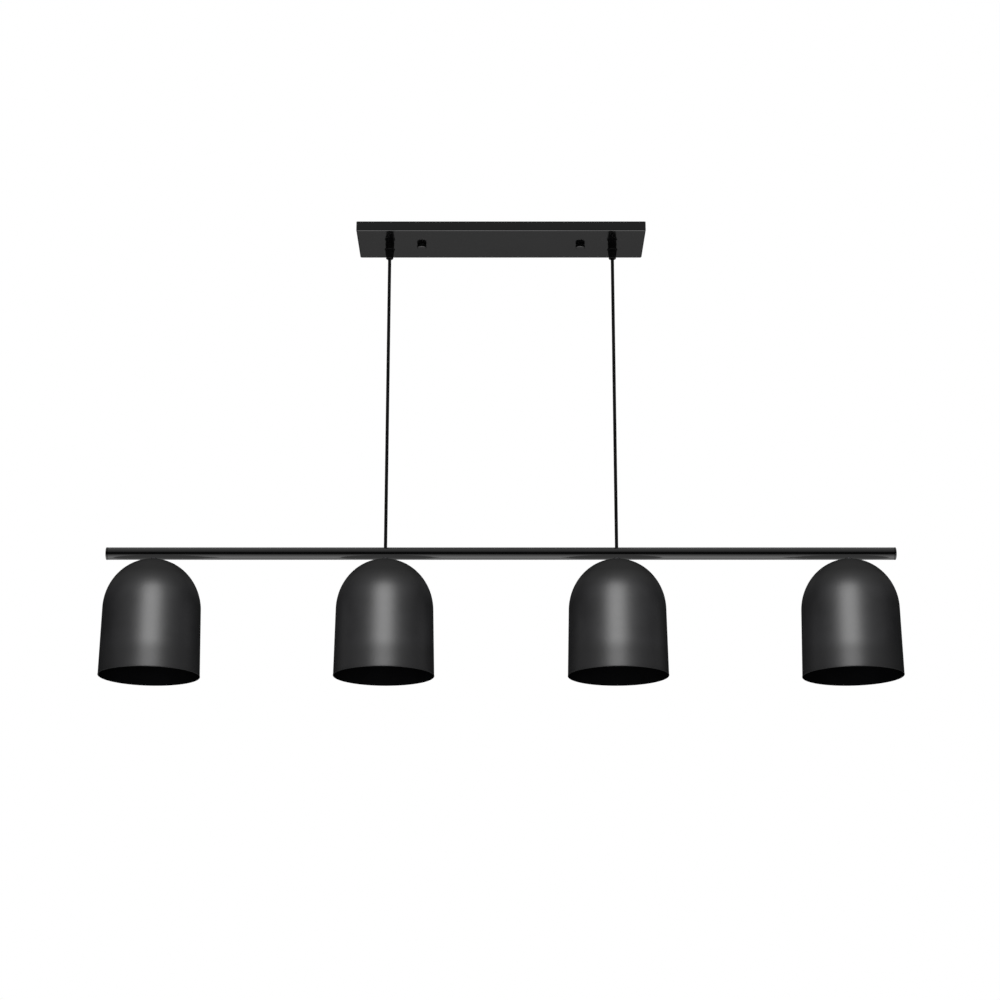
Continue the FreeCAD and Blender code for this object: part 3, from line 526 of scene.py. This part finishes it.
def canopy_piece():
    """Pressed tray with rolled lower edges, open towards the ceiling."""
    low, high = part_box("canopy")
    half_x, half_y = (high.x - low.x) / 2, (high.y - low.y) / 2
    bm = bmesh.new()

    def wall(inset, floor, edge_r, corner_r, top):
        """Rings from the rim down the wall and round the edge to the flat bottom."""
        levels = [(0, top), (0, top - GUARD), (0, floor + edge_r + GUARD)]
        for a in range(0, 91, 10):
            step = edge_r * (1 - math.cos(math.radians(a)))
            rise = edge_r * (1 - math.sin(math.radians(a)))
            levels.append((step, floor + rise))
        levels += [(edge_r + GUARD, floor), (edge_r + FLOOR_GUARD, floor)]
        rings = []
        for step, z in levels:
            gap = inset + step
            corner = max(corner_r - step, SMALLEST_CORNER_R)
            rings.append(rounded_ring(bm, half_x - gap, half_y - gap, corner, z))
        return rings

    outer = wall(0, low.z, CANOPY_EDGE_R, CANOPY_CORNER_R, high.z)
    inner = wall(CANOPY_WALL, low.z + CANOPY_WALL, CANOPY_EDGE_R / 2, CANOPY_CORNER_R / 2, high.z)
    pairs = list(zip(outer, outer[1:])) + list(zip(inner[1:], inner)) + [(inner[0], outer[0])]
    for one, two in pairs:
        for i in range(len(one)):
            k = (i + 1) % len(one)
            bm.faces.new((one[i], one[k], two[k], two[i]))
    bm.faces.new(outer[-1])
    bm.faces.new(inner[-1])
    holes = []
    for side in SIDES:
        for node, radius in (("clamp_bush_" + side, GRIP_HOLE_R), ("cap_nut_" + side, STUD_HOLE_R)):
            spot = middle(node)
            holes.append((spot.x, spot.y, radius, low.z - PAST, low.z + CANOPY_WALL + PAST))
    return drilled(finished("canopy_skin", bm, GLOSS_BLACK, 30), holes)


# ---- nuts ---------------------------------------------------------------------------------------
CAP_NUT_CHAMFER = 0.7 * MM
CAP_NUT_EDGE_R = 0.3 * MM       # rounds the free end
CAP_NUT_SHOULDER = 0.5 * MM
CAP_NUT_BORE_R = 2.05 * MM
CAP_NUT_END = 1.2 * MM
CAP_NUT_KNURL = (40, 0.35 * MM)


def cap_nut_piece(side):
    """Knurled thumb nut with a flat free end, chamfered rims and a blind bore."""
    low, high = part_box("cap_nut_" + side)
    centre = Vector(((low.x + high.x) / 2, (low.y + high.y) / 2, 0))
    r = (high.x - low.x) / 2
    face_r = r - CAP_NUT_CHAMFER
    outline = [(0, low.z), (face_r - CAP_NUT_SHOULDER, low.z)]
    outline += arc_points(face_r - CAP_NUT_EDGE_R, low.z + CAP_NUT_EDGE_R, CAP_NUT_EDGE_R, -90, -45, 4)
    outline += [(r, low.z + CAP_NUT_CHAMFER), (r, (low.z + high.z) / 2), (r, high.z - CAP_NUT_SHOULDER),
                (r - CAP_NUT_SHOULDER, high.z), (CAP_NUT_BORE_R, high.z),
                (CAP_NUT_BORE_R, low.z + CAP_NUT_END), (0, low.z + CAP_NUT_END)]
    bm = bmesh.new()
    lathe(bm, outline, centre, segments=240, closed=False, knurl=CAP_NUT_KNURL + (r - 0.1 * MM,))
    return finished("cap_nut_skin_" + side, bm, GLOSS_BLACK, 28)


GLAND_SPIGOT_R = 4.55 * MM
GLAND_BORE_R = 3.6 * MM
GLAND_BORE_DEPTH = 4.1 * MM     # above the pivot
GLAND_RING = 2.3 * MM
GLAND_CHAMFER = 0.5 * MM
GLAND_COLLAR = (5.9 * MM, 1.2 * MM)
GLAND_WAIST_R = 5.4 * MM
GLAND_TIP = (4.9 * MM, 3.4 * MM)
GLAND_LIP = (3.75 * MM, 1.1 * MM)
GLAND_MOUTH_R = 3.4 * MM
GLAND_SEAT_R = 3.05 * MM        # round the clamp bush
GLAND_SEAT_START = -25          # degrees, where the mouth's cone meets the seat
GLAND_KNURL = (36, 0.3 * MM)


def gland_piece(side):
    """Tapered gland nut: knurled ring, soft-edged cone and a bell mouth that shows the cord."""
    low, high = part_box("gland_nut_" + side)
    centre = Vector(((low.x + high.x) / 2, (low.y + high.y) / 2, 0))
    pivot = middle("clamp_bush_" + side).z
    r = (high.x - low.x) / 2
    ring_low = high.z - GLAND_RING
    collar_r, collar_drop = GLAND_COLLAR
    tip_r, tip_rise = GLAND_TIP
    lip_r, lip_round = GLAND_LIP
    bore_top = pivot + GLAND_BORE_DEPTH
    outline = [(GLAND_SPIGOT_R, high.z), (r - GLAND_CHAMFER, high.z), (r, high.z - GLAND_CHAMFER),
               (r, ring_low + GLAND_CHAMFER), (r - GLAND_CHAMFER, ring_low), (collar_r, ring_low),
               (collar_r, ring_low - collar_drop), (GLAND_WAIST_R, (ring_low + low.z) / 2),
               (tip_r, low.z + tip_rise)]
    outline += arc_points(lip_r, low.z + lip_round, lip_round, 25, -90, 8)
    outline.append((GLAND_MOUTH_R, low.z))
    outline += arc_points(0, pivot, GLAND_SEAT_R, GLAND_SEAT_START, 0, SEAT_STEPS)
    outline += [(GLAND_BORE_R, pivot), (GLAND_BORE_R, bore_top), (GLAND_SPIGOT_R, bore_top)]
    bm = bmesh.new()
    lathe(bm, outline, centre, segments=216, knurl=GLAND_KNURL + (r - GLAND_CHAMFER / 2,))
    return finished("gland_nut_skin_" + side, bm, NYLON, 28)


# ---- end caps -----------------------------------------------------------------------------------
CAP_FLANGE = 2.4 * MM
CAP_ROUND_R = 0.7 * MM
CAP_FACE_GUARD = 0.4 * MM
CAP_SEAM = 0.1 * MM             # gap between the flange and the bar's end
CAP_SEAM_BEVEL = (0.3 * MM, 0.35 * MM)
PLUG_R = 6.70 * MM
PLUG_BORE_R = 5.3 * MM
PLUG_LENGTH = 12.0 * MM


def end_cap_piece(side):
    """Pressed plug with a rounded flange, set off from the bar by a fine seam."""
    low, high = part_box("end_cap_" + side)
    sign = 1 if side == "right" else -1
    centre = Vector((high.x if sign > 0 else low.x, BAR_MID.y, BAR_MID.z))
    r = (high.z - low.z) / 2
    seam = CAP_SEAM - CAP_FLANGE
    plug_end = -CAP_FLANGE - PLUG_LENGTH
    bevel, bevel_length = CAP_SEAM_BEVEL
    outline = [(0, 0), (r - CAP_ROUND_R - CAP_FACE_GUARD, 0)]
    for a in range(0, 91, 10):
        out = CAP_ROUND_R * math.sin(math.radians(a))
        back = CAP_ROUND_R * (1 - math.cos(math.radians(a)))
        outline.append((r - CAP_ROUND_R + out, -back))
    outline += [(r, -CAP_FLANGE / 2), (r, bevel_length - CAP_FLANGE), (r - bevel, seam), (PLUG_R, seam),
                (PLUG_R, plug_end), (PLUG_BORE_R, plug_end), (PLUG_BORE_R, -CAP_FLANGE), (0, -CAP_FLANGE)]
    outline = [(radius, sign * depth) for radius, depth in outline]
    bm = bmesh.new()
    lathe(bm, outline, centre, segments=96, axis="X", closed=False)
    return finished("end_cap_skin_" + side, bm, GLOSS_BLACK, 30)


# ---- bar ----------------------------------------------------------------------------------------
BAR_WALL = 1.2 * MM
BAR_END_BEVEL = 0.25 * MM
BAR_STEPS = 48
CORD_HOLE_R = 4.1 * MM
NIPPLE_HOLE_R = 5.0 * MM


def across_bar(point):
    """Vector from the bar's axis out to a point."""
    return Vector((0, point.y - BAR_MID.y, point.z - BAR_MID.z))


def round_off(mesh):
    """Gives the bar's outside the true round's normals, so that the holes leave its shine unbroken."""
    normals = [Vector()] * len(mesh.loops)
    for face in mesh.polygons:
        outward = across_bar(face.center)
        if outward.length < BAR_R - 0.1 * MM or face.normal.dot(outward.normalized()) < 0.9:
            continue
        for i in face.loop_indices:
            normals[i] = across_bar(mesh.vertices[mesh.loops[i].vertex_index].co).normalized()
    mesh.normals_split_custom_set(normals)


def bar_piece():
    """The round bar as a long tube with softly turned ends, drilled for the cord seats and the nipples."""
    half = (BAR_HIGH.x - BAR_LOW.x) / 2
    straight = half - BAR_END_BEVEL
    inside = BAR_R - BAR_WALL
    outline = [(BAR_R - BAR_END_BEVEL, -half)]
    outline += [(BAR_R, straight * (2 * i / BAR_STEPS - 1)) for i in range(BAR_STEPS + 1)]
    outline += [(BAR_R - BAR_END_BEVEL, half), (inside, half), (inside, -half)]
    bm = bmesh.new()
    lathe(bm, outline, BAR_MID, segments=96, axis="X")
    holes = []
    for side in SIDES:
        x = middle("clamp_bush_" + side).x
        holes.append((x, BAR_MID.y, CORD_HOLE_R, BAR_MID.z, BAR_HIGH.z + PAST))
    for node in SHADES:
        holes.append((middle(node).x, BAR_MID.y, NIPPLE_HOLE_R, BAR_LOW.z - PAST, BAR_MID.z))
    obj = drilled(finished("bar_skin", bm, GLOSS_BLACK, 30), holes)
    round_off(obj.data)
    return obj


# ---- cords --------------------------------------------------------------------------------------
CORD_STEPS = 120
BUSH_CUP_R = 3.05 * MM
FOOT_CUP_R = 3.15 * MM
FOOT_PIVOT = 4.0 * MM           # above the bar's axis


def cord_piece(side):
    """Hanging cord, finely divided along its length, its ends cupped round bush and foot."""
    low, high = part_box("cord_" + side)
    centre = (low + high) / 2
    radius = (high.x - low.x) / 2
    bush_z = middle("clamp_bush_" + side).z
    foot_z = BAR_MID.z + FOOT_PIVOT
    bush_edge = math.degrees(math.acos(radius / BUSH_CUP_R))
    foot_edge = math.degrees(math.acos(radius / FOOT_CUP_R))
    outline = arc_points(0, bush_z - centre.z, BUSH_CUP_R, -90, -bush_edge, SEAT_STEPS)
    foot_cup = arc_points(0, foot_z - centre.z, FOOT_CUP_R, foot_edge, 90, SEAT_STEPS)
    top = outline[-1][1]
    bottom = foot_cup[0][1]
    outline += [(radius, top + (bottom - top) * i / CORD_STEPS) for i in range(1, CORD_STEPS)]
    outline += foot_cup
    bm = bmesh.new()
    lathe(bm, outline, centre, segments=32, closed=False)
    obj = finished("cord_skin_" + side, bm, SHEATH, 60)
    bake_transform(obj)
    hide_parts("cord_" + side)


# ---- studio -------------------------------------------------------------------------------------
CAMERA_FROM_BAR = Vector((-1.33, -2772.6, -715.7)) * MM
CAMERA_PITCH_UP = 15.85         # degrees
LENS = 80.30                    # mm, on a 36 mm sensor
SENSOR = 36.0
SIGHT_LIMIT = 50.0              # metres, past the floor's far edge


def camera():
    data = bpy.data.cameras.new("camera")
    data.lens = LENS
    data.sensor_width = SENSOR
    data.clip_end = SIGHT_LIMIT
    obj = bpy.data.objects.new("camera", data)
    bpy.context.scene.collection.objects.link(obj)
    obj.location = BAR_MID + CAMERA_FROM_BAR
    obj.rotation_euler = (math.radians(90 + CAMERA_PITCH_UP), 0, 0)
    bpy.context.scene.camera = obj
    return obj


# What reflections see: (sine of the elevation, brightness) towards the viewer and away from them.
FRONT_SKY = [(-1.0, 3.0), (-0.94, 2.6), (-0.77, 1.7), (-0.54, 0.8), (-0.42, 0.25), (-0.30, 0.01), (0.05, 0.0),
             (0.17, 0.04), (0.38, 0.38), (0.57, 0.5), (0.83, 0.8), (1.0, 0.9)]
BACK_SKY = [(-1.0, 3.0), (-0.94, 2.2), (-0.77, 1.35), (-0.5, 0.5), (-0.37, 0.18), (-0.17, 0.02), (0.0, 0.0),
            (0.17, 0.005), (0.38, 0.06), (0.57, 0.25), (0.83, 0.6), (1.0, 0.9)]
SKY_TOP = 3.0
SOFT_LIGHT = 0.9                # brightness that matt surfaces gather


def world():
    """White to the camera. Reflections see a bright floor and ceiling with a dark band round the horizon."""
    scene_world = bpy.data.worlds.new("studio")
    bpy.context.scene.world = scene_world
    t = Tree(scene_world)
    direction = t.add("ShaderNodeTexCoord").outputs["Generated"]
    axes = t.add("ShaderNodeSeparateXYZ", {0: direction})
    height = t.remap(axes.outputs[2], 0.5, 1.0)
    scaled = [[(s * 0.5 + 0.5, v / SKY_TOP) for s, v in sky] for sky in (FRONT_SKY, BACK_SKY)]
    front = t.ramp(height, scaled[0])
    back = t.ramp(height, scaled[1])
    behind = t.ramp(t.remap(axes.outputs[1], 0.5, 1.0), [(0.40, 0.0), (0.60, 1.0)])
    sky = t.mix(behind, front, back)
    glossy = t.add("ShaderNodeBackground", {0: sky, 1: SKY_TOP})
    soft = t.add("ShaderNodeBackground", {0: grey(SOFT_LIGHT), 1: 1.0})
    white = t.add("ShaderNodeBackground", {0: grey(1.0), 1: 1.0})
    rays = t.add("ShaderNodeLightPath").outputs
    lit = t.add("ShaderNodeMixShader", {0: rays["Is Glossy Ray"], 1: soft.outputs[0], 2: glossy.outputs[0]})
    seen = t.add("ShaderNodeMixShader", {0: rays["Is Camera Ray"], 1: lit.outputs[0], 2: white.outputs[0]})
    t.add("ShaderNodeOutputWorld", {0: seen.outputs[0]})


FLOOR_DROP = 1.75               # metres below the bar
FLOOR_RADIUS = 9.0


def floor():
    """Pale floor well below the lamp. Only a camera above it sees it, so it doesn't dull the reflections."""
    bm = bmesh.new()
    lathe(bm, [(0, 0), (FLOOR_RADIUS, 0)], Vector(), closed=False)
    material = bpy.data.materials.new("pale_floor")
    t = Tree(material)
    spot = t.add("ShaderNodeTexCoord").outputs["Object"]
    tone = t.mix(t.noise(spot, 0.6, 5, 0.6), grey(0.78), grey(0.84))
    diffuse = t.add("ShaderNodeBsdfDiffuse", {0: tone})
    clear = t.add("ShaderNodeBsdfTransparent")
    camera_ray = t.add("ShaderNodeLightPath").outputs["Is Camera Ray"]
    rise = t.height_of(t.add("ShaderNodeNewGeometry").outputs["Incoming"])
    seen = t.math("MULTIPLY", camera_ray, t.math("GREATER_THAN", rise, 0.0))
    shader = t.add("ShaderNodeMixShader", {0: seen, 1: clear.outputs[0], 2: diffuse.outputs[0]})
    t.add("ShaderNodeOutputMaterial", {0: shader.outputs[0]})
    obj = finished("floor", bm, material)
    obj.location.z = BAR_MID.z - FLOOR_DROP


def light(name, kind, direction, energy, receivers, distance=0.0, target=Vector()):
    """Light from a direction that puts a highlight on a few pieces and leaves everything else alone."""
    data = bpy.data.lights.new(name, kind)
    data.energy = energy
    data.diffuse_factor = 0.0
    obj = bpy.data.objects.new(name, data)
    bpy.context.scene.collection.objects.link(obj)
    obj.location = target + direction * distance
    obj.rotation_euler = direction.to_track_quat("Z", "Y").to_euler()
    obj.visible_camera = False
    lit = bpy.data.collections.new("lit_by_" + name)
    for piece in receivers:
        lit.objects.link(bpy.data.objects[piece])
    obj.light_linking.receiver_collection = lit
    return obj


def towards(azimuth, elevation):
    """Direction at an azimuth from the front (-Y), negative towards -X, and an elevation. Degrees."""
    a, e = math.radians(azimuth), math.radians(elevation)
    return Vector((math.cos(e) * math.sin(a), -math.cos(e) * math.cos(a), math.sin(e)))


STRIP_DISTANCE = 2.2            # metres from its shade
STRIP_AZIMUTH = -2.0            # degrees from the camera's direction, negative towards -X
STRIP_ELEVATIONS = (-25.0, 50.0)
STRIP_WIDTH = 1.45
STRIP_POWER = 345.0             # watts


def strip_lights(view_from):
    """One tall soft box per shade, lighting that shade only, so that each carries the same streak."""
    low, high = STRIP_ELEVATIONS
    for number, node in enumerate(SHADES, start=1):
        target = middle(node)
        sight = view_from - target
        bearing = math.degrees(math.atan2(sight.x, -sight.y))
        direction = towards(bearing + STRIP_AZIMUTH, (low + high) / 2)
        obj = light("strip_%d" % number, "AREA", direction, STRIP_POWER, [node + "_skin"],
                    STRIP_DISTANCE, target)
        obj.data.shape = "RECTANGLE"
        obj.data.size = STRIP_WIDTH
        obj.data.size_y = 2 * STRIP_DISTANCE * math.tan(math.radians((high - low) / 2))


FILL_SPREAD = 150.0             # degrees across
FILL_ELEVATION = 5.0
FILL_STRENGTH = 2.2


def fill_light():
    """Very wide, dim light from the front that rounds off the shades either side of the streak."""
    skins = [node + "_skin" for node in SHADES]
    obj = light("fill", "SUN", towards(0, FILL_ELEVATION), FILL_STRENGTH, skins)
    obj.data.angle = math.radians(FILL_SPREAD)


# ---- assembly -----------------------------------------------------------------------------------
def fit(obj, body, node):
    """Puts a piece on its body in place of a CAD node, which it hides."""
    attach(obj, body)
    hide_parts(node)


def main():
    dress_frame()
    for node in SHADES:
        fit(shade_piece(node), "bar", node)
    fit(bar_piece(), "bar", "bar_tube")
    fit(canopy_piece(), "ceiling_mount", "canopy")
    for side in SIDES:
        fit(cap_nut_piece(side), "cap_nut_" + side, "cap_nut_" + side)
        fit(gland_piece(side), "gland_nut_" + side, "gland_nut_" + side)
        fit(end_cap_piece(side), "bar", "end_cap_" + side)
        cord_piece(side)
    view = camera()
    world()
    floor()
    strip_lights(view.location.copy())
    fill_light()
    bpy.context.scene.view_settings.view_transform = "Standard"


main()
